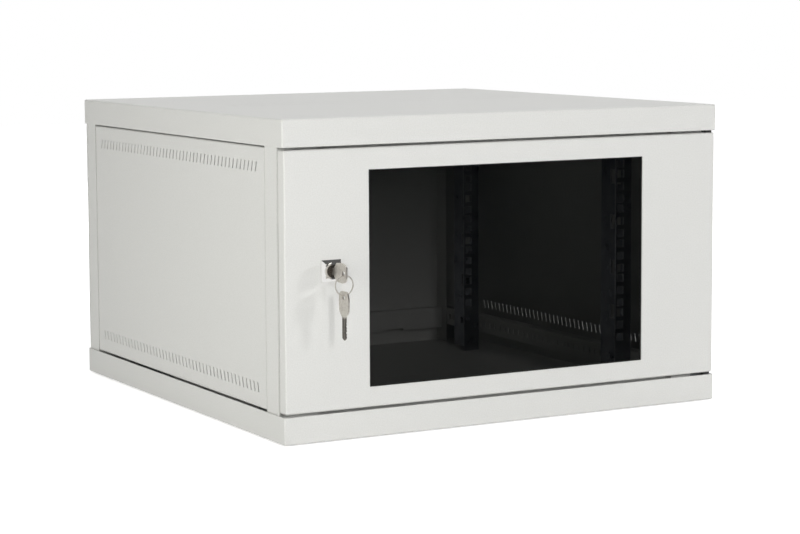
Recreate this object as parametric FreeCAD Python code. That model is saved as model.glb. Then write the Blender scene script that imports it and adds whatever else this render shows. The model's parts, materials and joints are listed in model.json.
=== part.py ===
"""Wall mount network cabinet, 6 rack units high, for 19 inch equipment.

Sheet metal body with a glazed front door.  Millimetres, +Z up.  The origin is the centre of the base
tray's underside; the door faces -Y, the wall is on the +Y side, and the door's hinges are on the +X side.
"""
import FreeCAD
import Part
import math
import os

V = FreeCAD.Vector

# ---- Driving dimensions -----------------------------------------------------------------------------
# Overall
WIDTH = 600.0               # over the top cover and the base tray
DEPTH = 600.0
HEIGHT = 370.0
# Sheet metal
COVER_SHEET = 1.2           # top cover, base tray, side panels, back panel and door
FRAME_SHEET = 1.5           # posts, depth bars, cross bars and front bars
RAIL_SHEET = 2.0
EDGE_BREAK = 1.4            # chamfer that stands for the outside of a bend
BODY_PLAY = 0.8             # between the rims and what stands inside them
RIM = 32.0                  # height of the top cover's and the base tray's rims
# Knock-out in the top cover and the base tray, held by bridges between its slits
KNOCKOUT_WIDTH = 416.0
KNOCKOUT_DEPTH = 39.0
KNOCKOUT_Y = 24.5           # its middle
KNOCKOUT_BRIDGE = 12.0
KNOCKOUT_SLITS = 4          # along each long side
SLIT = 1.3
# 19 inch rack standard
UNIT = 44.45
UNITS = 6
RACK_HOLE_SPACING = 465.1
RACK_OPENING = 450.0
RACK_HOLE = 9.5             # side of a square hole
FIRST_HOLE = 6.35           # from a unit's lower edge
HOLE_STEP = 15.875
# Rails
RAIL_FLANGE = 24.5          # width of the drilled flange
RAIL_DEPTH = 65.0           # of the flange that is screwed to the depth bars
FIRST_UNIT_Z = 63.5         # lower edge of the lowest unit
RAIL_CUTOUT_LENGTH = 22.0
RAIL_CUTOUT_HEIGHT = 18.0
RAIL_CUTOUTS = 4
RAIL_BOLT_SETBACK = 18.0    # from a rail's front face
FRONT_RAIL_SETBACK = 87.5   # of the front rails' faces, from the depth bars' front ends
REAR_RAIL_SETBACK = 113.0   # of the rear rails' faces, from the depth bars' rear ends
RAIL_BOLT_SLOTS = 2         # slots between a rail's two bolts
# Posts
POST_SIDE = 30.0            # side leg, from front to back
POST_RETURN = 20.0          # return beside the side panel
FRONT_POST_LIP = 19.5       # return beside the rack opening
REAR_POST_LIP = 26.0
# Depth bars and rear cross bars
BAR_HEIGHT = 24.0
BAR_FLANGE = 14.0
BAR_Z = 39.0                # middle of a lower bar; the upper ones mirror it
BAR_SLOT_LENGTH = 5.0
BAR_SLOT_HEIGHT = 7.0
BAR_SLOT_PITCH = 12.5
BAR_SLOT_MARGIN = 30.0      # first slot, from the bar's end
CROSS_HEIGHT = 30.0
CROSS_DEPTH = 14.0
CROSS_Z = 36.0              # middle of the lower cross bar
TIE_NOTCH_X = 167.0
TIE_NOTCH_WIDTH = 30.0
TIE_NOTCH_HEIGHT = 3.0
# Front bars, which close the gaps above and below the door
FRONT_BAR_SETBACK = 12.0    # behind the posts' front
FRONT_BAR_FLANGE = 14.0
FRONT_BAR_LAP = 3.5         # behind the door's edge
# Side panels
PANEL_RETURN = 12.0
PANEL_GAP = 1.5             # to the rims
PANEL_SEAM = 1.2            # to the posts
VENT_WIDTH = 2.0
VENT_HEIGHT = 11.5
VENT_SLANT = 3.2
VENT_PITCH = 10.25
VENT_MARGIN = 21.0          # least distance from the panel's edge to the first vent's middle
VENT_INSET = 23.5           # middle of a row, from the panel's edge
# Door
DOOR_DEPTH = 15.0
DOOR_GAP = 3.0              # to the rims
DOOR_LIP = 12.0
WINDOW_BELOW = 23.5         # door sheet below the window
WINDOW_ABOVE = 25.5
LOCK_TO_WINDOW = 50.0       # from the lock's axis to the window's edge
GLASS = 4.0
GLASS_LAP = 8.0             # glass behind the door sheet
SEAL = 1.5
SEAL_SHOW = 1.2             # seal that stands into the window
# Glass clips
CLIP_WIDTH = 16.0
CLIP_SHEET = 1.2
CLIP_HOLD = 6.0             # over the glass
CLIP_FOOT = 11.0
CLIP_PLAY = 0.8             # between the glass's edge and the clip
CLIP_SPREAD_X = 115.0       # clips above and below the window, from the middle
# Hinges
HINGE_INSET = 7.0           # of the axis, from the door's side and from its front
HINGE_PIN_R = 3.0
HINGE_PLAY = 0.05           # radial, pin in bush
SWING_CLEARANCE = 0.9       # door corner to post
BRACKET_SHEET = 2.0
BRACKET_WIDTH = 20.0
BRACKET_LEG = 24.0
BRACKET_PLAY = 0.5          # to the rim in front
BUSH = 9.0                  # side of a square bush
BUSH_LENGTH = 12.0
BUSH_PLAY = 0.3             # bush to bracket
PIN_LENGTH = 18.0           # above the bracket
# Lock
LOCK_ABOVE_MIDDLE = 11.5
ESCUTCHEON = 25.0
ESCUTCHEON_EDGE = 1.6
ESCUTCHEON_SLOPE = 4.2      # width of a sloping side
ESCUTCHEON_RISE = 2.6       # its height
BOSS_R = 9.4
BOSS_HEIGHT = 2.0
BARREL = 19.0               # side of the square barrel
BARREL_END_GAP = 1.5        # barrel to the plane of the post's front
PLUG_R = 7.5
PLUG_PLAY = 0.05            # radial, plug in housing
PLUG_SINK = 0.3             # plug below the boss
PLUG_SQUARE = 6.0
CAM_SHEET = 2.0
CAM_WIDTH = 12.0
CAM_HUB = 14.0
CAM_CLEARANCE = 1.5         # to the post's leg in front of it
CAM_SIDE_CLEARANCE = 1.0    # hub to the post's lip
CAM_HOLD = 30.0             # cam behind the post
KEEPER_MARGIN = 3.0
LOCK_CLIP = 25.0            # side of the spring clip behind the door sheet
LOCK_CLIP_SHEET = 1.5
LOCK_CLIP_WAIST = 17.0      # of the barrel where the clip grips it
# Keys and their ring
KEY_SHEET = 2.0
KEY_LENGTH = 55.5
KEY_BOW_LENGTH = 23.0
KEY_BOW_WIDTH = 23.0
KEY_BOW_WIDEST = 0.4        # of the bow's length, from its end
KEY_BOW_TAPER = 3.0         # on each side, to the bow's end
KEY_BOW_R = 5.0
KEY_NECK = 0.92             # of the bow's width, where it meets the shank
KEY_SHOULDER = 0.6
KEY_NOSE = 2.5              # length of the pointed end
KEY_TIP = 0.3               # of the blade's width
KEY_FIRST_CUT = 5.0         # from the tip
KEY_BLADE_WIDTH = 7.4
KEY_BLADE_LENGTH = 26.0
KEY_HOLE_R = 3.2
KEY_HOLE_INSET = 6.5
KEY_SLIT_PLAY = 0.1
KEYWAY_END = 1.0            # keyway left past the key's tip
KEY_CUTS = (1.0, 1.8, 0.8, 1.5, 1.1)
KEY_CUT_PITCH = 3.6
KEY_GROOVE_WIDTH = 2.4      # milled along both faces of the blade
KEY_GROOVE_DEPTH = 0.25     # of the key's thickness
KEY_GROOVE_OFFSET = 0.9     # from the blade's middle line, away from the cuts
RING_R = 11.3               # middle of the ring's wire
RING_WIRE = 1.4             # radial thickness
RING_WIDTH = 1.6
RING_PLAY = 0.15            # between the turning wire's corners and a key's hole
# Wall fixing
WALL_HOLE_R = 4.5
WALL_HOLE_INSET = 78.0      # from the top and from the bottom
WALL_HOLE_SPACING = 520.0
KEYHOLE_HEAD_R = 7.0
KEYHOLE_DROP = 13.0         # from the seat to the middle of the head's hole
WALL_WINDOW = 18.0          # width of the rear posts' windows for the screws' heads
# Fasteners
RAIL_BOLT = 5.0             # side of a bolt's square neck, which fits the bars' slots
RAIL_BOLT_HEAD = 11.0
RAIL_BOLT_SHEET = 2.5       # head's thickness
NUT_ACROSS = 8.0
NUT_HEIGHT = 4.0
CLIP_NUT_ACROSS = 7.0
CLIP_NUT_HEIGHT = 3.2
CAM_SCREW_ACROSS = 8.0
CAM_SCREW_HEAD = 3.5
PANEL_CLIP_SHEET = 1.0
PANEL_CLIP_WIDTH = 18.0
PANEL_CLIP_GRIP = 6.0       # over the side panel's return
PANEL_CLIP_INSET = 60.0
# Door bumpers
BUMPER = 10.0
BUMPER_GAP = 0.5
BUMPER_INSET = 75.0

# ---- Derived sizes ----------------------------------------------------------------------------------
FLOOR_Z = COVER_SHEET
CEILING_Z = HEIGHT - COVER_SHEET
MIDDLE_Z = HEIGHT / 2
BODY_X = WIDTH / 2 - COVER_SHEET - BODY_PLAY    # outer face of posts, side panels and door
FRONT_Y = -DEPTH / 2                            # door's front face
BACK_Y = DEPTH / 2 - COVER_SHEET - BODY_PLAY    # back panel's outer face
BACK_PANEL_Y = BACK_Y - COVER_SHEET             # its inner face, and the rear posts' outer one

DOOR_Z0 = RIM + DOOR_GAP
DOOR_Z1 = HEIGHT - RIM - DOOR_GAP
DOOR_BACK_Y = FRONT_Y + DOOR_DEPTH
DOOR_INNER_Y = FRONT_Y + COVER_SHEET
HINGE_X = BODY_X - HINGE_INSET
HINGE_Y = FRONT_Y + HINGE_INSET
SWING_R = math.hypot(HINGE_INSET, DOOR_DEPTH - HINGE_INSET)
POST_FRONT_Y = HINGE_Y + SWING_R + SWING_CLEARANCE

RAIL_X = RACK_OPENING / 2 + RAIL_FLANGE         # outer face of a rail, and inner face of a depth bar
POST_INNER_X = RAIL_X - FRAME_SHEET
BAR_Y0 = POST_FRONT_Y + FRAME_SHEET
BAR_Y1 = BACK_PANEL_Y - FRAME_SHEET
BAR_SLOTS = int((BAR_Y1 - BAR_Y0 - 2 * BAR_SLOT_MARGIN) / BAR_SLOT_PITCH) + 1
BAR_SLOT_YS = [BAR_Y0 + BAR_SLOT_MARGIN + BAR_SLOT_PITCH * i for i in range(BAR_SLOTS)]
BAR_ZS = (BAR_Z, HEIGHT - BAR_Z)


def rail_face(wanted_y):
    """The nearest place to wanted_y where a rail's first bolt meets a slot of the depth bars."""
    return min((y - RAIL_BOLT_SETBACK for y in BAR_SLOT_YS), key=lambda y: abs(y - wanted_y))


FRONT_RAIL_Y = rail_face(BAR_Y0 + FRONT_RAIL_SETBACK)
REAR_RAIL_Y = rail_face(BAR_Y1 - REAR_RAIL_SETBACK)
RAIL_BOLT_YS = [face + RAIL_BOLT_SETBACK + BAR_SLOT_PITCH * step
                for face in (FRONT_RAIL_Y, REAR_RAIL_Y) for step in (0, RAIL_BOLT_SLOTS)]
RACK_HOLE_ZS = [FIRST_UNIT_Z + UNIT * unit + FIRST_HOLE + HOLE_STEP * hole
                for unit in range(UNITS) for hole in range(3)]

PANEL_Y0 = POST_FRONT_Y + POST_SIDE + PANEL_SEAM
PANEL_Y1 = BACK_PANEL_Y - POST_SIDE - PANEL_SEAM
PANEL_Z0 = RIM + PANEL_GAP
PANEL_Z1 = HEIGHT - RIM - PANEL_GAP
PANEL_CLIP_ZS = (PANEL_Z0 + PANEL_CLIP_INSET, PANEL_Z1 - PANEL_CLIP_INSET)

LOCK_X = -(POST_INNER_X - CAM_SIDE_CLEARANCE - CAM_HUB / 2)
LOCK_Z = MIDDLE_Z + LOCK_ABOVE_MIDDLE
WINDOW_X = -LOCK_X - LOCK_TO_WINDOW             # half the window's width
WINDOW_Z0 = DOOR_Z0 + WINDOW_BELOW
WINDOW_Z1 = DOOR_Z1 - WINDOW_ABOVE
GLASS_X = WINDOW_X + GLASS_LAP
GLASS_Z0 = WINDOW_Z0 - GLASS_LAP
GLASS_Z1 = WINDOW_Z1 + GLASS_LAP
GLASS_Y0 = DOOR_INNER_Y + SEAL
GLASS_Y1 = GLASS_Y0 + GLASS

ESCUTCHEON_Y = FRONT_Y - ESCUTCHEON_EDGE - ESCUTCHEON_RISE
LOCK_FRONT_Y = ESCUTCHEON_Y - BOSS_HEIGHT
BARREL_Y = POST_FRONT_Y - BARREL_END_GAP
CAM_Y = POST_FRONT_Y + FRAME_SHEET + CAM_CLEARANCE
CAM_REACH = POST_INNER_X + CAM_HOLD + LOCK_X
KEY_TIP_Y = BARREL_Y - KEYWAY_END
KEY_BOW_Y = KEY_TIP_Y - KEY_LENGTH
RING_Y = KEY_BOW_Y + KEY_HOLE_INSET
RING_SWEEP = math.hypot(RING_WIRE, RING_WIDTH) / 2 + RING_PLAY
RING_TOP_Z = LOCK_Z - KEY_HOLE_R + RING_SWEEP
RING_Z = RING_TOP_Z - RING_R
RING_BOTTOM_Z = RING_Z - RING_R
SPARE_HOLE_Z = RING_BOTTOM_Z + RING_SWEEP - KEY_HOLE_R
SPARE_TOP_Z = SPARE_HOLE_Z + KEY_HOLE_INSET

SIDES = (-1, 1)


# ---- Helpers ----------------------------------------------------------------------------------------
def block(x0, x1, y0, y1, z0, z1):
    """A box between two corners."""
    return Part.makeBox(x1 - x0, y1 - y0, z1 - z0, V(x0, y0, z0))


def rod(radius, start, end):
    """A cylinder between two points."""
    axis = end - start
    return Part.makeCylinder(radius, axis.Length, start, axis)


def hexagon(across, start, end):
    """A hexagonal prism along Y or X or Z, measured across its flats."""
    axis = end - start
    ring = [V(across / math.sqrt(3) * math.cos(math.radians(60 * i)),
              across / math.sqrt(3) * math.sin(math.radians(60 * i)), 0) for i in range(7)]
    prism = Part.Face(Part.makePolygon(ring)).extrude(V(0, 0, axis.Length))
    prism.Placement = FreeCAD.Placement(start, FreeCAD.Rotation(V(0, 0, 1), axis))
    return prism


def other_side(shape):
    """The same piece on the other side of the cabinet."""
    return shape.mirror(V(0, 0, 0), V(1, 0, 0))


def upside_down(shape):
    """The same piece at the other end of the cabinet's height."""
    return shape.mirror(V(0, 0, MIDDLE_Z), V(0, 0, 1))


def group(shapes):
    """Separate solids in one node."""
    return Part.makeCompound(shapes)


def left_of(direction):
    return V(-direction.y, direction.x, 0)


def folded(points, sheet, at, along):
    """A bent strip of sheet metal.

    points run along one face and the sheet lies to their left; at() sets a point of that plane in
    space, and along is the strip's length and direction.
    """
    near = [V(a, b, 0) for a, b in points]
    normals = [left_of((end - start).normalize()) for start, end in zip(near, near[1:])]
    far = [near[0] + normals[0] * sheet]
    for corner, before, after in zip(near[1:], normals, normals[1:]):
        far.append(corner + (before + after) * (sheet / (1 + before.dot(after))))
    far.append(near[-1] + normals[-1] * sheet)
    ring = near + far[::-1] + near[:1]
    return Part.Face(Part.makePolygon([at(p.x, p.y) for p in ring])).extrude(along)


def outline(points, at):
    """A closed outline; each point is a, b and the radius of its corner."""
    count = len(points)
    arcs = []
    for i, (a, b, radius) in enumerate(points):
        corner = V(a, b, 0)
        before = V(*points[i - 1][:2], 0)
        after = V(*points[(i + 1) % count][:2], 0)
        into = (corner - before).normalize()
        out = (after - corner).normalize()
        angle = into.getAngle(out)
        tangent = radius * math.tan(angle / 2)
        start = corner - into * tangent
        end = corner + out * tangent
        inward = (out - into).normalize()
        middle = corner + inward * (radius / math.cos(angle / 2) - radius)
        arcs.append((start, middle, end, radius))
    edges = []
    here = arcs[-1][2]
    for start, middle, end, radius in arcs:
        edges.append(Part.LineSegment(at(here.x, here.y), at(start.x, start.y)).toShape())
        if radius > 0:
            edges.append(Part.Arc(*[at(p.x, p.y) for p in (start, middle, end)]).toShape())
        here = end
    return Part.Wire(edges)


def pan(x0, x1, y0, y1, depth, lip=0.0):
    """A folded pan with its floor at z = 0, open upwards, with an optional lip round the mouth."""
    t = COVER_SHEET
    outer = block(x0, x1, y0, y1, 0, depth)
    bends = [edge for edge in outer.Edges if edge.CenterOfMass.z < depth - t]
    outer = outer.makeChamfer(EDGE_BREAK, bends)
    shell = outer.cut(block(x0 + t, x1 - t, y0 + t, y1 - t, t, depth - t if lip else depth + t))
    if lip:
        reach = t + lip
        shell = shell.cut(block(x0 + reach, x1 - reach, y0 + reach, y1 - reach, t, depth + t))
    return shell


# ---- Top cover and base tray ------------------------------------------------------------------------
def knockout_slits():
    """The slits round a knock-out, with a bridge left between each two."""
    x = KNOCKOUT_WIDTH / 2
    y0 = KNOCKOUT_Y - KNOCKOUT_DEPTH / 2
    y1 = KNOCKOUT_Y + KNOCKOUT_DEPTH / 2
    pitch = KNOCKOUT_WIDTH / KNOCKOUT_SLITS
    cuts = []
    for side in SIDES:
        cuts.append(block(side * x - SLIT / 2, side * x + SLIT / 2,
                          y0 + KNOCKOUT_BRIDGE / 4, y1 - KNOCKOUT_BRIDGE / 4, -1, COVER_SHEET + 1))
    for y in (y0, y1):
        for i in range(KNOCKOUT_SLITS):
            start = -x + pitch * i + KNOCKOUT_BRIDGE / 2
            cuts.append(block(start, start + pitch - KNOCKOUT_BRIDGE,
                              y - SLIT / 2, y + SLIT / 2, -1, COVER_SHEET + 1))
    return cuts


def base_tray():
    tray = pan(-WIDTH / 2, WIDTH / 2, -DEPTH / 2, DEPTH / 2, RIM)
    return tray.cut(knockout_slits())


def top_cover():
    cover = pan(-WIDTH / 2, WIDTH / 2, -DEPTH / 2, DEPTH / 2, RIM)
    return upside_down(cover.cut(knockout_slits()))


# ---- Posts ------------------------------------------------------------------------------------------
def post(face_y, inward, lip):
    """A right-hand corner post; face_y is its front or rear face, and inward points to the middle."""
    x0 = POST_INNER_X
    side_y = face_y + inward * POST_SIDE
    path = [(x0, face_y + inward * lip), (x0, face_y), (BODY_X, face_y), (BODY_X, side_y),
            (BODY_X - POST_RETURN, side_y)]
    if inward < 0:
        path.reverse()
    solid = folded(path, FRAME_SHEET, lambda a, b: V(a, b, FLOOR_Z), V(0, 0, CEILING_Z - FLOOR_Z))
    corner = V(BODY_X, face_y, MIDDLE_Z)
    return solid.makeChamfer(EDGE_BREAK, [edge for edge in solid.Edges
                                          if (edge.CenterOfMass - corner).Length < FRAME_SHEET / 2])


def front_post_right():
    return post(POST_FRONT_Y, 1, FRONT_POST_LIP)


def front_post_left():
    """The lock's cam turns through a slot in this post's lip."""
    y0 = POST_FRONT_Y + FRAME_SHEET
    y1 = CAM_Y + CAM_SHEET + KEEPER_MARGIN
    slot = block(-POST_INNER_X - FRAME_SHEET - 1, -POST_INNER_X + 1, y0, y1,
                 LOCK_Z - CAM_REACH - KEEPER_MARGIN, LOCK_Z + CAM_WIDTH / 2 + KEEPER_MARGIN)
    return other_side(front_post_right()).cut(slot)


def rear_post_right():
    """Two windows in its rear leg leave the wall fixings free."""
    half = WALL_WINDOW / 2
    x = WALL_HOLE_SPACING / 2
    y0 = BACK_PANEL_Y - FRAME_SHEET - 1
    seat_z = HEIGHT - WALL_HOLE_INSET
    windows = [block(x - half, x + half, y0, BACK_PANEL_Y + 1, z0 - half, z1 + half)
               for z0, z1 in ((WALL_HOLE_INSET, WALL_HOLE_INSET), (seat_z - KEYHOLE_DROP, seat_z))]
    return post(BACK_PANEL_Y, -1, REAR_POST_LIP).cut(windows)


def rear_post_left():
    return other_side(rear_post_right())


# ---- Back panel and wall fixing ---------------------------------------------------------------------
def wall_cuts(side):
    """On one side: a keyhole near the top and a round hole near the bottom."""
    x = side * WALL_HOLE_SPACING / 2
    y0 = BACK_PANEL_Y - 1
    y1 = BACK_Y + 1
    seat_z = HEIGHT - WALL_HOLE_INSET
    head_z = seat_z - KEYHOLE_DROP
    return [rod(WALL_HOLE_R, V(x, y0, WALL_HOLE_INSET), V(x, y1, WALL_HOLE_INSET)),
            rod(WALL_HOLE_R, V(x, y0, seat_z), V(x, y1, seat_z)),
            block(x - WALL_HOLE_R, x + WALL_HOLE_R, y0, y1, head_z, seat_z),
            rod(KEYHOLE_HEAD_R, V(x, y0, head_z), V(x, y1, head_z))]


def back_panel():
    sheet = block(-BODY_X, BODY_X, BACK_PANEL_Y, BACK_Y, FLOOR_Z, CEILING_Z)
    return sheet.cut(wall_cuts(-1) + wall_cuts(1))


# ---- Bars between the posts --------------------------------------------------------------------------
def depth_bar(z):
    """A slotted channel on the right-hand side, open outwards."""
    z0 = z - BAR_HEIGHT / 2
    z1 = z + BAR_HEIGHT / 2
    x1 = RAIL_X + BAR_FLANGE
    path = [(x1, z1), (RAIL_X, z1), (RAIL_X, z0), (x1, z0)]
    bar = folded(path, FRAME_SHEET, lambda a, b: V(a, BAR_Y0, b), V(0, BAR_Y1 - BAR_Y0, 0))
    web = (RAIL_X - 1, RAIL_X + FRAME_SHEET + 1)
    cuts = [block(*web, y - BAR_SLOT_LENGTH / 2, y + BAR_SLOT_LENGTH / 2,
                  z - BAR_SLOT_HEIGHT / 2, z + BAR_SLOT_HEIGHT / 2) for y in BAR_SLOT_YS]
    return bar.cut(cuts)


def cross_bar():
    """The lower rear cross bar: a channel against the back panel."""
    z0 = CROSS_Z - CROSS_HEIGHT / 2
    z1 = CROSS_Z + CROSS_HEIGHT / 2
    y0 = BACK_PANEL_Y - CROSS_DEPTH
    path = [(BACK_PANEL_Y, z1), (y0, z1), (y0, z0), (BACK_PANEL_Y, z0)]
    bar = folded(path, FRAME_SHEET, lambda a, b: V(-POST_INNER_X, a, b), V(2 * POST_INNER_X, 0, 0))
    half = TIE_NOTCH_WIDTH / 2
    notches = [block(side * TIE_NOTCH_X - half, side * TIE_NOTCH_X + half, y0 - 1, y0 + CROSS_DEPTH / 2,
                     z0 - 1, z0 + TIE_NOTCH_HEIGHT) for side in SIDES]
    return bar.cut(notches)


def front_bar():
    """The lower front bar: an angle on the tray's floor, between the front posts."""
    y0 = POST_FRONT_Y + FRONT_BAR_SETBACK
    z1 = DOOR_Z0 + FRONT_BAR_LAP
    path = [(y0 + FRONT_BAR_FLANGE, z1), (y0, z1), (y0, FLOOR_Z)]
    return folded(path, FRAME_SHEET, lambda a, b: V(-POST_INNER_X, a, b), V(2 * POST_INNER_X, 0, 0))


# ---- 19 inch rails ----------------------------------------------------------------------------------
def rail(front_y):
    """A right-hand rail: drilled flange in front, flange with cut-outs against the depth bars."""
    x0 = RACK_OPENING / 2
    path = [(x0, front_y), (RAIL_X, front_y), (RAIL_X, front_y + RAIL_DEPTH)]
    solid = folded(path, RAIL_SHEET, lambda a, b: V(a, b, FLOOR_Z), V(0, 0, CEILING_Z - FLOOR_Z))
    hole_x = RACK_HOLE_SPACING / 2
    half = RACK_HOLE / 2
    cuts = [block(hole_x - half, hole_x + half, front_y - 1, front_y + RAIL_SHEET + 1, z - half, z + half)
            for z in RACK_HOLE_ZS]
    flange = (RAIL_X - RAIL_SHEET - 1, RAIL_X + 1)
    cut_y = front_y + (RAIL_DEPTH - RAIL_CUTOUT_LENGTH) / 2
    pitch = (BAR_ZS[1] - BAR_ZS[0]) / (RAIL_CUTOUTS + 1)
    for i in range(RAIL_CUTOUTS):
        z = BAR_ZS[0] + pitch * (i + 1)
        cuts.append(block(*flange, cut_y, cut_y + RAIL_CUTOUT_LENGTH,
                          z - RAIL_CUTOUT_HEIGHT / 2, z + RAIL_CUTOUT_HEIGHT / 2))
    for z in BAR_ZS:
        for step in (0, RAIL_BOLT_SLOTS):
            y = front_y + RAIL_BOLT_SETBACK + BAR_SLOT_PITCH * step
            cuts.append(bolt_neck(y, z))
    return solid.cut(cuts)


def bolt_neck(y, z):
    """The square neck of a rail bolt, through a depth bar's slot and a rail."""
    half = RAIL_BOLT / 2
    return block(RAIL_X - RAIL_SHEET, RAIL_X + FRAME_SHEET, y - half, y + half, z - half, z + half)


def rail_bolts():
    """Bolts with a flat square head behind each depth bar."""
    half = RAIL_BOLT_HEAD / 2
    x0 = RAIL_X + FRAME_SHEET
    bolts = [block(x0, x0 + RAIL_BOLT_SHEET, y - half, y + half, z - half, z + half).fuse(bolt_neck(y, z))
             for y in RAIL_BOLT_YS for z in BAR_ZS]
    return group(bolts + [other_side(bolt) for bolt in bolts])


def rail_nuts():
    """Cap nuts on the rails' inner faces."""
    x0 = RAIL_X - RAIL_SHEET
    nuts = [hexagon(NUT_ACROSS, V(x0 - NUT_HEIGHT, y, z), V(x0, y, z)) for y in RAIL_BOLT_YS for z in BAR_ZS]
    return group(nuts + [other_side(nut) for nut in nuts])


# ---- Side panels ------------------------------------------------------------------------------------
def vent_cuts(z, lean):
    """One row of slanted vents; lean is +1 where their upper ends point to the front."""
    length = PANEL_Y1 - PANEL_Y0
    count = int((length - 2 * VENT_MARGIN) / VENT_PITCH) + 1
    first = (PANEL_Y0 + PANEL_Y1 - VENT_PITCH * (count - 1)) / 2
    shift = lean * VENT_SLANT / 2
    half = VENT_WIDTH / 2
    x = BODY_X - COVER_SHEET - 1
    z0 = z - VENT_HEIGHT / 2
    z1 = z + VENT_HEIGHT / 2
    cuts = []
    for i in range(count):
        y = first + VENT_PITCH * i
        corners = [V(x, y + shift - half, z0), V(x, y + shift + half, z0),
                   V(x, y - shift + half, z1), V(x, y - shift - half, z1)]
        face = Part.Face(Part.makePolygon(corners + corners[:1]))
        cuts.append(face.extrude(V(COVER_SHEET + 2, 0, 0)))
    return cuts


def side_panel_right():
    """A vented pan between the posts, open towards the inside."""
    shell = pan(PANEL_Z0, PANEL_Z1, PANEL_Y0, PANEL_Y1, PANEL_RETURN)
    shell.rotate(V(0, 0, 0), V(0, 1, 0), -90)
    shell.translate(V(BODY_X, 0, 0))
    return shell.cut(vent_cuts(PANEL_Z1 - VENT_INSET, 1) + vent_cuts(PANEL_Z0 + VENT_INSET, -1))


def panel_clips():
    """Spring clips, each round a post's return and the side panel's return beside it."""
    t = PANEL_CLIP_SHEET
    x0 = BODY_X - POST_RETURN - t
    x1 = BODY_X - PANEL_RETURN + PANEL_CLIP_GRIP
    clips = []
    for y, inward in ((PANEL_Y0, 1), (PANEL_Y1, -1)):
        outside = y - inward * (PANEL_SEAM + FRAME_SHEET + t)
        inside = y + inward * (COVER_SHEET + t)
        path = [(x1, outside), (x0, outside), (x0, inside), (x1, inside)]
        if inward > 0:
            path.reverse()
        for z in PANEL_CLIP_ZS:
            z0 = z - PANEL_CLIP_WIDTH / 2
            clips.append(folded(path, t, lambda a, b: V(a, b, z0), V(0, 0, PANEL_CLIP_WIDTH)))
    return group(clips + [other_side(clip) for clip in clips])


# ---- Hinges -----------------------------------------------------------------------------------------
def hinge_bracket():
    """The lower bracket: an angle on the post, with its top level with the base tray's rim."""
    y0 = FRONT_Y + COVER_SHEET + BRACKET_PLAY
    path = [(POST_FRONT_Y, RIM - BRACKET_LEG), (POST_FRONT_Y, RIM), (y0, RIM)]
    return folded(path, BRACKET_SHEET, lambda a, b: V(BODY_X - BRACKET_WIDTH, a, b), V(BRACKET_WIDTH, 0, 0))


def on_hinge_axis(z):
    return V(HINGE_X, HINGE_Y, z)


def hinge_pins():
    """One pin stands on the lower bracket, and one hangs from the upper."""
    pin = rod(HINGE_PIN_R, on_hinge_axis(RIM), on_hinge_axis(RIM + PIN_LENGTH))
    return group([pin, upside_down(pin)])


def bush_block(z0, z1):
    half = BUSH / 2
    return block(HINGE_X - half, HINGE_X + half, HINGE_Y - half, HINGE_Y + half, z0, z1)


def hinge_bushes():
    """Square bushes pressed into the door's lower and upper edges; the pins turn in them."""
    z0 = RIM + BUSH_PLAY
    bore = rod(HINGE_PIN_R + HINGE_PLAY, on_hinge_axis(0), on_hinge_axis(MIDDLE_Z))
    bush = bush_block(z0, z0 + BUSH_LENGTH).cut(bore)
    return group([bush, upside_down(bush)])


# ---- Door -------------------------------------------------------------------------------------------
def door_shell():
    height = DOOR_Z1 - DOOR_Z0
    shell = pan(-BODY_X, BODY_X, -height / 2, height / 2, DOOR_DEPTH, DOOR_LIP)
    shell.rotate(V(0, 0, 0), V(1, 0, 0), -90)
    shell.translate(V(0, FRONT_Y, (DOOR_Z0 + DOOR_Z1) / 2))
    window = block(-WINDOW_X, WINDOW_X, FRONT_Y - 1, DOOR_INNER_Y + 1, WINDOW_Z0, WINDOW_Z1)
    lock_hole = lock_block(BARREL, FRONT_Y - 1, DOOR_INNER_Y + 1)
    return shell.cut([window, lock_hole, bush_block(0, HEIGHT)])


def frame(x, z0, z1, bar, y0, y1):
    """A flat rectangular frame; x, z0 and z1 are its opening."""
    outer = block(-x - bar, x + bar, y0, y1, z0 - bar, z1 + bar)
    return outer.cut(block(-x, x, y0 - 1, y1 + 1, z0, z1))


def glass_seal():
    show = SEAL_SHOW
    opening = (WINDOW_X - show, WINDOW_Z0 + show, WINDOW_Z1 - show)
    return frame(*opening, GLASS_LAP + show, DOOR_INNER_Y, GLASS_Y0)


def door_glass():
    return block(-GLASS_X, GLASS_X, GLASS_Y0, GLASS_Y1, GLASS_Z0, GLASS_Z1)


def clip_places():
    """For each clip: a point on the glass's edge, and the outward direction there."""
    middle = (GLASS_Z0 + GLASS_Z1) / 2
    places = [(V(side * GLASS_X, 0, middle), V(side, 0, 0)) for side in SIDES]
    for x in (-CLIP_SPREAD_X, CLIP_SPREAD_X):
        places.append((V(x, 0, GLASS_Z0), V(0, 0, -1)))
        places.append((V(x, 0, GLASS_Z1), V(0, 0, 1)))
    return places


def glass_clips():
    """Cranked strips that hold the glass against the seal."""
    path = [(-CLIP_HOLD, GLASS_Y1), (CLIP_PLAY, GLASS_Y1), (CLIP_PLAY, DOOR_INNER_Y),
            (CLIP_PLAY + CLIP_FOOT, DOOR_INNER_Y)]
    clips = []
    for edge, outward in clip_places():
        across = outward.cross(V(0, 1, 0))
        corner = edge - across * (CLIP_WIDTH / 2)
        clips.append(folded(path, CLIP_SHEET, lambda a, b: corner + outward * a + V(0, b, 0),
                            across * CLIP_WIDTH))
    return group(clips)


def clip_nuts():
    """Cap nuts on the clips' feet."""
    nuts = []
    for edge, outward in clip_places():
        foot_middle = CLIP_PLAY + (CLIP_FOOT + CLIP_SHEET) / 2
        seat = edge + outward * foot_middle + V(0, DOOR_INNER_Y + CLIP_SHEET, 0)
        nuts.append(hexagon(CLIP_NUT_ACROSS, seat, seat + V(0, CLIP_NUT_HEIGHT, 0)))
    return group(nuts)


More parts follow.
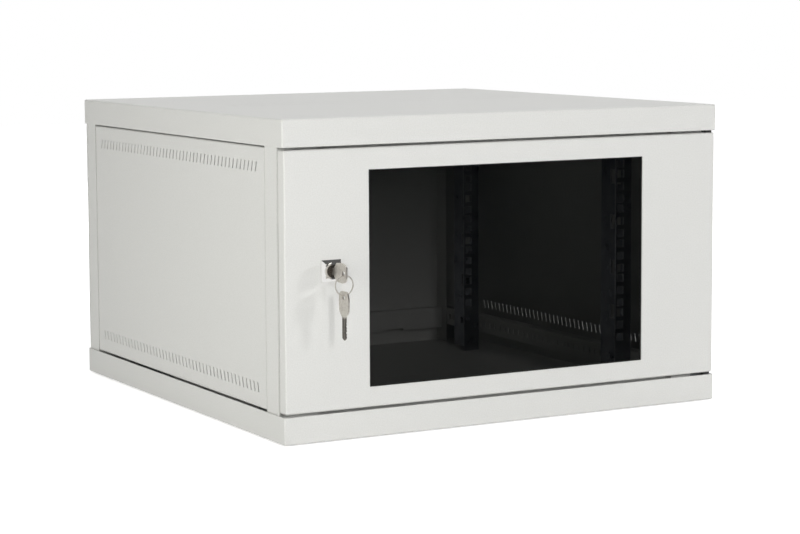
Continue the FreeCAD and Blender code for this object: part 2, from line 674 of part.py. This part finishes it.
# ---- Lock -------------------------------------------------------------------------------------------
def on_lock_axis(y):
    return V(LOCK_X, y, LOCK_Z)


def lock_block(side, y0, y1):
    """A square block on the lock's axis."""
    half = side / 2
    return block(LOCK_X - half, LOCK_X + half, y0, y1, LOCK_Z - half, LOCK_Z + half)


def lock_housing():
    """Square escutcheon with sloping sides, round boss, and a square barrel through the door."""
    half = ESCUTCHEON / 2
    edge_y = FRONT_Y - ESCUTCHEON_EDGE
    plate = lock_block(ESCUTCHEON, edge_y, FRONT_Y)
    slope = Part.makeWedge(0, 0, 0, ESCUTCHEON_SLOPE, ESCUTCHEON_SLOPE,
                           ESCUTCHEON, ESCUTCHEON_RISE, ESCUTCHEON,
                           ESCUTCHEON - ESCUTCHEON_SLOPE, ESCUTCHEON - ESCUTCHEON_SLOPE)
    slope.rotate(V(0, 0, 0), V(1, 0, 0), 180)
    slope.translate(V(LOCK_X - half, edge_y, LOCK_Z + half))
    boss = rod(BOSS_R, on_lock_axis(edge_y), on_lock_axis(LOCK_FRONT_Y))
    solid = plate.fuse([slope, boss, lock_block(BARREL, FRONT_Y, BARREL_Y)])
    waist = lock_block(BARREL, DOOR_INNER_Y, DOOR_INNER_Y + LOCK_CLIP_SHEET)
    waist = waist.cut(block(LOCK_X - LOCK_CLIP_WAIST / 2, LOCK_X + LOCK_CLIP_WAIST / 2,
                            FRONT_Y, BARREL_Y, LOCK_Z - BARREL, LOCK_Z + BARREL))
    bore = rod(PLUG_R + PLUG_PLAY, on_lock_axis(LOCK_FRONT_Y - 1), on_lock_axis(BARREL_Y + 1))
    return solid.cut([waist, bore])


def lock_clip():
    """A U-shaped spring clip in the barrel's grooves, which holds the lock against the door."""
    y1 = DOOR_INNER_Y + LOCK_CLIP_SHEET
    plate = lock_block(LOCK_CLIP, DOOR_INNER_Y, y1)
    half = LOCK_CLIP_WAIST / 2
    return plate.cut(block(LOCK_X - half, LOCK_X + half, DOOR_INNER_Y - 1, y1 + 1,
                           LOCK_Z - LOCK_CLIP, LOCK_Z + BARREL / 2))


def lock_plug():
    """The turning part: keyway in front, square for the cam behind."""
    front = rod(PLUG_R, on_lock_axis(LOCK_FRONT_Y + PLUG_SINK), on_lock_axis(CAM_Y))
    square = lock_block(PLUG_SQUARE, CAM_Y, CAM_Y + CAM_SHEET)
    wide = KEY_SHEET / 2 + KEY_SLIT_PLAY
    tall = KEY_BLADE_WIDTH / 2 + KEY_SLIT_PLAY
    keyway = block(LOCK_X - wide, LOCK_X + wide, LOCK_FRONT_Y - 1, KEY_TIP_Y + KEYWAY_END,
                   LOCK_Z - tall, LOCK_Z + tall)
    return front.fuse(square).cut(keyway)


def lock_cam():
    """Points down when unlocked; a quarter turn takes it behind the left front post."""
    hub = lock_block(CAM_HUB, CAM_Y, CAM_Y + CAM_SHEET)
    corners = [edge for edge in hub.Edges if edge.BoundBox.YLength > CAM_SHEET / 2]
    hub = hub.makeChamfer(CAM_HUB / 4, corners)
    half = CAM_WIDTH / 2
    path = [(LOCK_X - half, LOCK_Z), (LOCK_X - half, LOCK_Z - CAM_REACH + half / 2),
            (LOCK_X - half / 2, LOCK_Z - CAM_REACH), (LOCK_X + half / 2, LOCK_Z - CAM_REACH),
            (LOCK_X + half, LOCK_Z - CAM_REACH + half / 2), (LOCK_X + half, LOCK_Z), (LOCK_X - half, LOCK_Z)]
    arm = Part.Face(Part.makePolygon([V(a, CAM_Y, b) for a, b in path])).extrude(V(0, CAM_SHEET, 0))
    return hub.fuse(arm).cut(lock_block(PLUG_SQUARE, CAM_Y - 1, CAM_Y + CAM_SHEET + 1))


def cam_screw():
    back = CAM_Y + CAM_SHEET
    return hexagon(CAM_SCREW_ACROSS, on_lock_axis(back), on_lock_axis(back + CAM_SCREW_HEAD))


# ---- Keys and ring ----------------------------------------------------------------------------------
def key_grooves(at, through):
    """The grooves along a key's blade, one in each face."""
    low = KEY_GROOVE_OFFSET - KEY_GROOVE_WIDTH / 2
    high = KEY_GROOVE_OFFSET + KEY_GROOVE_WIDTH / 2
    start = KEY_LENGTH - KEY_BLADE_LENGTH + KEY_SHOULDER
    corners = [at(a, b) for a, b in ((start, low), (KEY_LENGTH, low), (KEY_LENGTH, high), (start, high))]
    groove = Part.Face(Part.makePolygon(corners + corners[:1])).extrude(through * KEY_GROOVE_DEPTH)
    return [groove, groove.translated(through * (1 - KEY_GROOVE_DEPTH))]


def key(at, through):
    """A flat key; at() sets a point (along the key from its bow's end, and across it) in space."""
    bow = KEY_BOW_WIDTH / 2
    blade = KEY_BLADE_WIDTH / 2
    shoulder = KEY_LENGTH - KEY_BLADE_LENGTH
    tip = KEY_LENGTH
    head = [(0, bow - KEY_BOW_TAPER, KEY_BOW_R), (KEY_BOW_LENGTH * KEY_BOW_WIDEST, bow, KEY_BOW_R),
            (KEY_BOW_LENGTH, bow * KEY_NECK, 0), (shoulder, blade + KEY_SHOULDER, 0),
            (shoulder + KEY_SHOULDER, blade, 0)]
    cuts = []
    for i, depth in enumerate(KEY_CUTS):
        middle = tip - KEY_FIRST_CUT - KEY_CUT_PITCH * i
        cuts += [(middle + depth, -blade, 0), (middle, -blade + depth, 0), (middle - depth, -blade, 0)]
    nose = [(tip - KEY_NOSE, blade, 0), (tip, blade * KEY_TIP, 0), (tip, -blade * KEY_TIP, 0),
            (tip - KEY_NOSE, -blade, 0)]
    points = head + nose + cuts + [(a, -b, r) for a, b, r in reversed(head)]
    flat = Part.Face(outline(points, at)).extrude(through)
    hole = rod(KEY_HOLE_R, at(KEY_HOLE_INSET, 0) - through, at(KEY_HOLE_INSET, 0) + through * 2)
    return flat.cut([hole] + key_grooves(at, through))


def key_in_lock():
    x = LOCK_X - KEY_SHEET / 2
    return key(lambda a, b: V(x, KEY_BOW_Y + a, LOCK_Z + b), V(KEY_SHEET, 0, 0))


def spare_key():
    x = LOCK_X - KEY_SHEET / 2
    return key(lambda a, b: V(x, RING_Y + b, SPARE_TOP_Z - a), V(KEY_SHEET, 0, 0))


def key_ring():
    """A ring that faces the front, through the holes of both keys."""
    centre = V(LOCK_X, RING_Y - RING_WIDTH / 2, RING_Z)
    outer = Part.makeCylinder(RING_R + RING_WIRE / 2, RING_WIDTH, centre, V(0, 1, 0))
    return outer.cut(Part.makeCylinder(RING_R - RING_WIRE / 2, RING_WIDTH, centre, V(0, 1, 0)))


# ---- Small parts ------------------------------------------------------------------------------------
def door_bumpers():
    """Rubber pads on the left front post, which the door's lip meets."""
    half = BUMPER / 2
    x = -BODY_X + DOOR_LIP
    return group([block(x - half, x + half, DOOR_BACK_Y + BUMPER_GAP, POST_FRONT_Y, z - half, z + half)
                  for z in (BUMPER_INSET, HEIGHT - BUMPER_INSET)])


# ---- The cabinet's nodes ----------------------------------------------------------------------------
def nodes():
    pieces = {
        "top_cover": top_cover(),
        "base_tray": base_tray(),
        "back_panel": back_panel(),
        "front_post_left": front_post_left(),
        "front_post_right": front_post_right(),
        "rear_post_left": rear_post_left(),
        "rear_post_right": rear_post_right(),
        "cross_bar_lower": cross_bar(),
        "cross_bar_upper": upside_down(cross_bar()),
        "front_bar_lower": front_bar(),
        "front_bar_upper": upside_down(front_bar()),
        "side_panel_left": other_side(side_panel_right()),
        "side_panel_right": side_panel_right(),
        "rail_bolts": rail_bolts(),
        "rail_nuts": rail_nuts(),
        "panel_clips": panel_clips(),
        "hinge_bracket_lower": hinge_bracket(),
        "hinge_bracket_upper": upside_down(hinge_bracket()),
        "hinge_pins": hinge_pins(),
        "door_bumpers": door_bumpers(),
        "door_shell": door_shell(),
        "door_glass": door_glass(),
        "glass_seal": glass_seal(),
        "glass_clips": glass_clips(),
        "clip_nuts": clip_nuts(),
        "hinge_bushes": hinge_bushes(),
        "lock_housing": lock_housing(),
        "lock_clip": lock_clip(),
        "lock_plug": lock_plug(),
        "lock_cam": lock_cam(),
        "cam_screw": cam_screw(),
        "key_in_lock": key_in_lock(),
        "key_ring": key_ring(),
        "spare_key": spare_key(),
    }
    for level, z in zip(("lower", "upper"), BAR_ZS):
        pieces["depth_bar_right_" + level] = depth_bar(z)
        pieces["depth_bar_left_" + level] = other_side(depth_bar(z))
    for place, y in (("front", FRONT_RAIL_Y), ("rear", REAR_RAIL_Y)):
        pieces[place + "_rail_right"] = rail(y)
        pieces[place + "_rail_left"] = other_side(rail(y))
    return pieces


os.makedirs("parts", exist_ok=True)
for name, shape in nodes().items():
    shape.exportStep("parts/" + name + ".step")
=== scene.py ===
"""Looks of the wall mount network cabinet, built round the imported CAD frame."""
import json
import math

import bpy
from mathutils import Matrix, Vector


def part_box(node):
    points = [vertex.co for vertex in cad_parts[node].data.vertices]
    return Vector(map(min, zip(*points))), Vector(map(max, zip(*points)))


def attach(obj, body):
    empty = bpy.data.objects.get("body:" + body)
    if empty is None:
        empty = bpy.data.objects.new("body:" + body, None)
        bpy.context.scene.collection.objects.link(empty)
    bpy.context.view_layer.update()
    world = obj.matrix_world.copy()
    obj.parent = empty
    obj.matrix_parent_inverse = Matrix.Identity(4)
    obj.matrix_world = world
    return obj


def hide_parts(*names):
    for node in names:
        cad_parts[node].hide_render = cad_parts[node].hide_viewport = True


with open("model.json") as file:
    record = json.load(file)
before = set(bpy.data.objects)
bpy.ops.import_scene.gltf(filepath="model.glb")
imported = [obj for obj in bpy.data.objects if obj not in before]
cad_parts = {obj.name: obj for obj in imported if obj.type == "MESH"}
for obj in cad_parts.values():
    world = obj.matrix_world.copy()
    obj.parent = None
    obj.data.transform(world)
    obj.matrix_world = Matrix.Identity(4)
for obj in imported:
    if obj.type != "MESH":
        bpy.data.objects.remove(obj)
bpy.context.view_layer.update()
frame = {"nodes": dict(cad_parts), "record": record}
nodes = frame["nodes"]


# ---- Values: lengths are in metres, unless the line says otherwise ------------------------------
PAINTED_BEND = 0.0012        # radius of the outer bends of the painted sheets
PLATED_BEND = 0.0014         # radius of the rounded edges of the plated parts and of the painted highlight on them
BLADE_TOP = 0.148            # height of the hanging key's shoulder, below which its blade gets painted shade
BLADE_FADE = 0.003           # height over which the painted shade on the blade fades in

RING_WIRE = 0.0007           # radius of the key ring's wire
RING_TURNS = 2
RING_STEPS = 144             # points along the wire
RING_START = -math.pi / 3    # angle of the wire's first end, in radians

AMBIENT = 0.06               # strength of the light from all sides
WHITE_SIDE = (-0.8, 0.6, 0)  # the way to the side that metal mirrors as white
FRONT_DARK = 0.12            # what metal mirrors from the other side, where white is 1
WORLD_FADE = (-0.5, -0.1)    # distances along WHITE_SIDE between which the world turns white
FLOOR_FADE = (-1.2, -0.4)    # the same for the floor
FLOOR_HALF = 6.0             # half of the floor's side
FLOOR_DROP = 0.0015          # gap below the cabinet
FLOOR_GLOW = 0.62            # lifts the floor near the cabinet to white, for the camera alone
GLOW_REACH = (0.9, 2.2)      # distances between which the glow grows to 1, the backdrop's white

CAMERA_PLACE = (-1.4113, -2.5489, 0.5059)
CAMERA_ANGLES = (-28.07, 5.85, -0.39)  # degrees: turn to the left, tilt down, and roll
CAMERA_SHIFT = (0.06, -0.05)
SENSOR_WIDTH = 36.0          # millimetres
IMAGE_WIDTH = 800            # pixels
FOCAL_LENGTH = 2251.0        # pixels


# ---- Material helpers ---------------------------------------------------------------------------
def new_material(name, colour, roughness, metallic=0.0, alpha=1.0, specular=0.5):
    """A Principled material whose plain values sit on the shader's own sockets."""
    material = bpy.data.materials.new(name)
    material.use_nodes = True
    material.diffuse_color = (*colour, alpha)
    shader = material.node_tree.nodes["Principled BSDF"]
    shader.inputs["Base Color"].default_value = (*colour, 1)
    shader.inputs["Roughness"].default_value = roughness
    shader.inputs["Metallic"].default_value = metallic
    shader.inputs["Alpha"].default_value = alpha
    shader.inputs["Specular IOR Level"].default_value = specular
    return material, shader, material.node_tree


def set_input(tree, socket, value):
    """Links another node's output to a socket, or sets a plain value; a colour's alpha is 1."""
    if isinstance(value, tuple):
        socket.default_value = value + (1,) * (len(socket.default_value) - len(value))
    else:
        tree.links.new(value, socket)


def add_noise(tree, scale, detail, stretch=(1, 1, 1)):
    """Noise in the object's own metres, so its grain has a real size."""
    place = tree.nodes.new("ShaderNodeTexCoord")
    mapping = tree.nodes.new("ShaderNodeMapping")
    mapping.inputs["Scale"].default_value = stretch
    noise = tree.nodes.new("ShaderNodeTexNoise")
    noise.inputs["Scale"].default_value = scale
    noise.inputs["Detail"].default_value = detail
    tree.links.new(place.outputs["Object"], mapping.inputs["Vector"])
    tree.links.new(mapping.outputs["Vector"], noise.inputs["Vector"])
    return noise.outputs["Fac"]


def add_range(tree, source, low, high, start=0.3, end=0.7):
    """Maps values from start to end, by default those that noise mostly takes, to low to high."""
    node = tree.nodes.new("ShaderNodeMapRange")
    node.inputs["From Min"].default_value = start
    node.inputs["From Max"].default_value = end
    node.inputs["To Min"].default_value = low
    node.inputs["To Max"].default_value = high
    tree.links.new(source, node.inputs["Value"])
    return node.outputs["Result"]


def add_roughness(tree, shader, source, low, high):
    """Lets a noise vary the roughness from low to high."""
    tree.links.new(add_range(tree, source, low, high), shader.inputs["Roughness"])


def add_bump(tree, shader, source, strength, distance):
    """Raises the surface by a source; returns the bump node, whose own normal can be set."""
    bump = tree.nodes.new("ShaderNodeBump")
    bump.inputs["Strength"].default_value = strength
    bump.inputs["Distance"].default_value = distance
    tree.links.new(source, bump.inputs["Height"])
    tree.links.new(bump.outputs["Normal"], shader.inputs["Normal"])
    return bump


def add_two_tone(tree, shader, factor, first, second):
    """Mixes two base colours by a factor; each is a plain colour or an earlier mix."""
    mix = tree.nodes.new("ShaderNodeMix")
    mix.data_type = "RGBA"
    set_input(tree, mix.inputs["A"], first)
    set_input(tree, mix.inputs["B"], second)
    tree.links.new(factor, mix.inputs["Factor"])
    tree.links.new(mix.outputs["Result"], shader.inputs["Base Color"])
    return mix.outputs["Result"]


def add_bend(tree, socket, radius, samples=4):
    """Rounds the sharp edges of the CAD model in the shading."""
    bend = tree.nodes.new("ShaderNodeBevel")
    bend.samples = samples
    bend.inputs["Radius"].default_value = radius
    tree.links.new(bend.outputs["Normal"], socket)
    return bend.outputs["Normal"]


def add_dot(tree, first, second):
    """The dot product of two vectors."""
    node = tree.nodes.new("ShaderNodeVectorMath")
    node.operation = "DOT_PRODUCT"
    set_input(tree, node.inputs[0], first)
    set_input(tree, node.inputs[1], second)
    return node.outputs["Value"]


# ---- Materials ----------------------------------------------------------------------------------
def powder_coat():
    """Light grey, finely textured powder coat over bends with a small outer radius."""
    material, shader, tree = new_material("powder_coat", (0.74, 0.74, 0.72), 0.5)
    grain = add_noise(tree, scale=620, detail=2)
    add_two_tone(tree, shader, add_range(tree, grain, 0, 1),
                 (0.715, 0.715, 0.69), (0.765, 0.765, 0.745))
    add_roughness(tree, shader, grain, 0.36, 0.58)
    bump = add_bump(tree, shader, grain, strength=0.35, distance=0.0004)
    add_bend(tree, bump.inputs["Normal"], PAINTED_BEND)
    return material


def zinc():
    """Zinc plating with a faint bluish cloud, and a painted highlight on its edges and hole rims.
    """
    material, shader, tree = new_material("zinc", (0.36, 0.38, 0.42), 0.3, metallic=1.0)
    cloud = add_noise(tree, scale=45, detail=4)
    face = add_two_tone(tree, shader, add_range(tree, cloud, 0, 1),
                        (0.30, 0.32, 0.36), (0.42, 0.44, 0.48))
    add_roughness(tree, shader, cloud, 0.26, 0.34)
    bend = add_bend(tree, shader.inputs["Normal"], PLATED_BEND, samples=8)
    flat = tree.nodes.new("ShaderNodeNewGeometry")
    likeness = add_dot(tree, bend, flat.outputs["Normal"])  # 1 on a face, less near its edges
    # painted highlight: a light base colour on the edges and hole rims, where the rounded normal
    # leaves the flat one
    add_two_tone(tree, shader, add_range(tree, likeness, 1, 0, 0.82, 0.98),
                 face, (0.82, 0.84, 0.86))
    return material


def spring_steel():
    """Plain grey spring steel with a fine cloud."""
    material, shader, tree = new_material(
        "spring_steel", (0.20, 0.205, 0.215), 0.4, metallic=0.9)
    cloud = add_noise(tree, scale=300, detail=3)
    add_two_tone(tree, shader, add_range(tree, cloud, 0, 1),
                 (0.15, 0.155, 0.165), (0.25, 0.255, 0.27))
    return material


def smoked_glass():
    """Dark, flat and clear: the alpha stands for the tint of the whole pane."""
    material, shader, tree = new_material(
        "smoked_glass", (0.001, 0.0012, 0.0014), 0.0, alpha=0.45, specular=0.02)
    wave = add_noise(tree, scale=3, detail=0)
    add_bump(tree, shader, wave, strength=0.02, distance=0.002)
    return material


def rubber():
    """Matt black rubber with a fine grain."""
    material, shader, tree = new_material("black_rubber", (0.012, 0.012, 0.012), 0.7)
    grain = add_noise(tree, scale=1500, detail=1)
    add_roughness(tree, shader, grain, 0.6, 0.8)
    add_bump(tree, shader, grain, strength=0.2, distance=0.0001)
    return material


def nylon():
    """Black nylon of the hinge bushes."""
    material, shader, tree = new_material("nylon", (0.03, 0.03, 0.03), 0.45)
    grain = add_noise(tree, scale=900, detail=1)
    add_roughness(tree, shader, grain, 0.38, 0.52)
    return material


def chrome():
    """Polished, with faint wipe marks."""
    material, shader, tree = new_material("chrome", (0.80, 0.79, 0.77), 0.07, metallic=1.0)
    marks = add_noise(tree, scale=220, detail=5)
    add_roughness(tree, shader, marks, 0.04, 0.14)
    return material


def plug_metal():
    """The lock's dark plug."""
    material, shader, tree = new_material("plug_metal", (0.10, 0.09, 0.08), 0.3, metallic=1.0)
    grain = add_noise(tree, scale=700, detail=3)
    add_two_tone(tree, shader, add_range(tree, grain, 0, 1),
                 (0.06, 0.055, 0.05), (0.14, 0.125, 0.11))
    add_roughness(tree, shader, grain, 0.22, 0.42)
    return material


def nickel():
    """Nickel plated keys and ring, worn satin, with painted shade on the blade below its shoulder.
    """
    material, shader, tree = new_material("nickel", (0.66, 0.63, 0.58), 0.5, metallic=1.0)
    wear = add_noise(tree, scale=420, detail=4)
    brush = add_noise(tree, scale=1400, detail=1, stretch=(1, 1, 0.08))
    unshaded_nickel = add_two_tone(tree, shader, add_range(tree, wear, 0, 1),
                         (0.60, 0.57, 0.52), (0.74, 0.71, 0.66))
    place = tree.nodes.new("ShaderNodeTexCoord")
    axes = tree.nodes.new("ShaderNodeSeparateXYZ")
    tree.links.new(place.outputs["Object"], axes.inputs["Vector"])
    height = add_range(tree, axes.outputs["Z"], 0, 1, BLADE_TOP - BLADE_FADE, BLADE_TOP)
    # painted shade: a dark base colour on the blade below BLADE_TOP
    add_two_tone(tree, shader, height, (0.23, 0.215, 0.195), unshaded_nickel)
    add_roughness(tree, shader, brush, 0.42, 0.56)
    add_bump(tree, shader, brush, strength=0.12, distance=0.00005)
    return material


SLOT_MATERIALS = {
    "painted_steel": powder_coat(),
    "zinc_plated_steel": zinc(),
    "spring_steel": spring_steel(),
    "smoked_glass": smoked_glass(),
    "black_rubber": rubber(),
    "nylon": nylon(),
    "chrome": chrome(),
    "dark_lock_metal": plug_metal(),
    "nickel_key": nickel(),
}


def dress_nodes():
    """Gives every CAD node the material of its slot."""
    for part in frame["record"]["subparts"]:
        piece = nodes[part["node"]]
        piece.data.materials.clear()
        piece.data.materials.append(SLOT_MATERIALS[part["material_slot"]])


# ---- Key ring -----------------------------------------------------------------------------------
def split_ring():
    """Turns of round wire side by side, in place of the plain ring of the CAD model."""
    low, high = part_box("key_ring")
    centre = (low + high) / 2
    radius = (high.x - low.x) / 2 - RING_WIRE
    spread = high.y - low.y - 2 * RING_WIRE
    curve = bpy.data.curves.new("split_ring", "CURVE")
    curve.dimensions = "3D"
    curve.bevel_depth = RING_WIRE
    curve.bevel_resolution = 4
    curve.use_fill_caps = True
    spline = curve.splines.new("POLY")
    spline.points.add(RING_STEPS)
    for i, point in enumerate(spline.points):
        turn = RING_TURNS * i / RING_STEPS
        angle = 2 * math.pi * turn + RING_START
        y = centre.y + (turn / RING_TURNS - 0.5) * spread
        point.co = (centre.x + radius * math.cos(angle), y, centre.z + radius * math.sin(angle), 1)
    ring = bpy.data.objects.new("split_ring", curve)
    bpy.context.scene.collection.objects.link(ring)
    curve.materials.append(SLOT_MATERIALS["nickel_key"])
    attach(ring, "ring")
    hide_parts("key_ring")


# ---- Floor, light and camera --------------------------------------------------------------------
def add_larger(tree, first, second):
    """The larger of two values; of two kinds of ray, whether it is either."""
    node = tree.nodes.new("ShaderNodeMath")
    node.operation = "MAXIMUM"
    tree.links.new(first, node.inputs[0])
    tree.links.new(second, node.inputs[1])
    return node.outputs["Value"]


def mix_shaders(tree, factor, first, second):
    """The first shader where the factor is 0, and the second where it is 1."""
    mix = tree.nodes.new("ShaderNodeMixShader")
    tree.links.new(factor, mix.inputs["Fac"])
    tree.links.new(first, mix.inputs[1])
    tree.links.new(second, mix.inputs[2])
    return mix.outputs["Shader"]


def set_surface(tree, output, lighting, look):
    """Shows the look to the camera, mirrors and glass, and lights the rest with the lighting."""
    path = tree.nodes.new("ShaderNodeLightPath")
    mirror_or_glass = add_larger(tree, path.outputs["Is Glossy Ray"],
                                 path.outputs["Is Transmission Ray"])
    seen = add_larger(tree, path.outputs["Is Camera Ray"], mirror_or_glass)
    surface = mix_shaders(tree, seen, lighting, look)
    tree.links.new(surface, tree.nodes[output].inputs["Surface"])


def add_studio_side(tree, place, fade):
    """What metal mirrors: white behind the cabinet and to its left, dark to the front right."""
    return add_range(tree, add_dot(tree, place, WHITE_SIDE), FRONT_DARK, 1.0, *fade)


def add_glow(tree, strength):
    """White light of a strength that another node gives."""
    glow = tree.nodes.new("ShaderNodeEmission")
    glow.inputs["Color"].default_value = (1, 1, 1, 1)
    tree.links.new(strength, glow.inputs["Strength"])
    return glow.outputs["Emission"]


def set_world():
    """A soft grey studio whose backdrop looks white."""
    world = bpy.data.worlds.new("studio")
    bpy.context.scene.world = world
    world.use_nodes = True
    tree = world.node_tree
    ambient = tree.nodes["Background"]
    backdrop = tree.nodes.new("ShaderNodeBackground")
    for background in (ambient, backdrop):
        background.inputs["Color"].default_value = (1, 1, 1, 1)
    ambient.inputs["Strength"].default_value = AMBIENT
    place = tree.nodes.new("ShaderNodeTexCoord")
    path = tree.nodes.new("ShaderNodeLightPath")
    mirrored = add_studio_side(tree, place.outputs["Generated"], WORLD_FADE)
    tree.links.new(add_larger(tree, path.outputs["Is Camera Ray"], mirrored),
                   backdrop.inputs["Strength"])
    set_surface(tree, "World Output", ambient.outputs["Background"],
                backdrop.outputs["Background"])


def add_floor():
    """A white floor that keeps the cabinet's shadow and fades into the backdrop."""
    half = FLOOR_HALF
    mesh = bpy.data.meshes.new("floor")
    corners = [(-half, -half, 0), (half, -half, 0), (half, half, 0), (-half, half, 0)]
    mesh.from_pydata(corners, [], [(0, 1, 2, 3)])
    floor = bpy.data.objects.new("floor", mesh)
    floor.location.z = -FLOOR_DROP
    bpy.context.scene.collection.objects.link(floor)
    material, shader, tree = new_material("floor", (0.9, 0.9, 0.9), 0.9, specular=0.0)
    place = tree.nodes.new("ShaderNodeTexCoord")
    distance = tree.nodes.new("ShaderNodeVectorMath")
    distance.operation = "LENGTH"
    tree.links.new(place.outputs["Object"], distance.inputs[0])
    far = add_range(tree, distance.outputs["Value"], FLOOR_GLOW, 1.0, *GLOW_REACH)
    lit = tree.nodes.new("ShaderNodeAddShader")
    tree.links.new(shader.outputs["BSDF"], lit.inputs[0])
    tree.links.new(add_glow(tree, far), lit.inputs[1])
    mirrored = add_glow(tree, add_studio_side(tree, place.outputs["Object"], FLOOR_FADE))
    path = tree.nodes.new("ShaderNodeLightPath")
    look = mix_shaders(tree, path.outputs["Is Camera Ray"], mirrored, lit.outputs["Shader"])
    set_surface(tree, "Material Output", shader.outputs["BSDF"], look)
    mesh.materials.append(material)


def add_lamp(name, position, target, size, watts, colour=(1, 1, 1), mirrored=False):
    """A soft box at position, turned to target; a mirror shows it only if mirrored is true."""
    light = bpy.data.lights.new(name, "AREA")
    light.shape = "RECTANGLE"
    light.size, light.size_y = size
    light.energy = watts
    light.color = colour
    lamp = bpy.data.objects.new(name, light)
    lamp.location = position
    lamp.visible_glossy = mirrored
    direction = Vector(target) - Vector(position)
    lamp.rotation_euler = direction.to_track_quat("-Z", "Y").to_euler()
    bpy.context.scene.collection.objects.link(lamp)


def add_lamps():
    """Lights the front, the sides, the top and the back, all softly."""
    add_lamp("key_light", position=(-0.3, -3.2, 1.0), target=(0, -0.3, 0.2),
             size=(0.6, 1.0), watts=43.5)
    add_lamp("right_light", position=(1.9, -2.5, 0.8), target=(0, -0.3, 0.2),
             size=(0.4, 0.4), watts=15)
    add_lamp("left_light", position=(-1.7, -0.6, 0.44), target=(-0.3, -0.2, 0.2),
             size=(0.8, 0.8), watts=11.9, colour=(1.0, 1.0, 0.96))
    add_lamp("top_light", position=(0.2, 0.0, 2.4), target=(0, 0, 0.37),
             size=(1.6, 1.6), watts=20, mirrored=True)
    add_lamp("side_light", position=(2.8, 0.6, 0.7), target=(0.3, 0.1, 0.2),
             size=(1.0, 1.0), watts=24)
    add_lamp("rear_light", position=(0.15, 3.2, 0.9), target=(0, 0.3, 0.2),
             size=(0.8, 1.0), watts=30)


def set_camera():
    """A long lens at the photograph's viewing angle."""
    data = bpy.data.cameras.new("camera")
    data.sensor_width = SENSOR_WIDTH
    data.lens = FOCAL_LENGTH * SENSOR_WIDTH / IMAGE_WIDTH
    data.shift_x, data.shift_y = CAMERA_SHIFT
    data.clip_end = 50
    turn, tilt, roll = (math.radians(angle) for angle in CAMERA_ANGLES)
    forward = Vector((-math.sin(turn) * math.cos(tilt), math.cos(turn) * math.cos(tilt),
                      -math.sin(tilt)))
    level = Vector((math.cos(turn), math.sin(turn), 0))
    upright = level.cross(forward)
    right = math.cos(roll) * level + math.sin(roll) * upright
    up = math.cos(roll) * upright - math.sin(roll) * level
    matrix = Matrix((right, up, -forward)).transposed().to_4x4()
    matrix.translation = CAMERA_PLACE
    camera = bpy.data.objects.new("camera", data)
    camera.matrix_world = matrix
    bpy.context.scene.collection.objects.link(camera)
    bpy.context.scene.camera = camera


dress_nodes()
split_ring()
set_world()
add_floor()
add_lamps()
set_camera()
bpy.context.scene.view_settings.view_transform = "Standard"
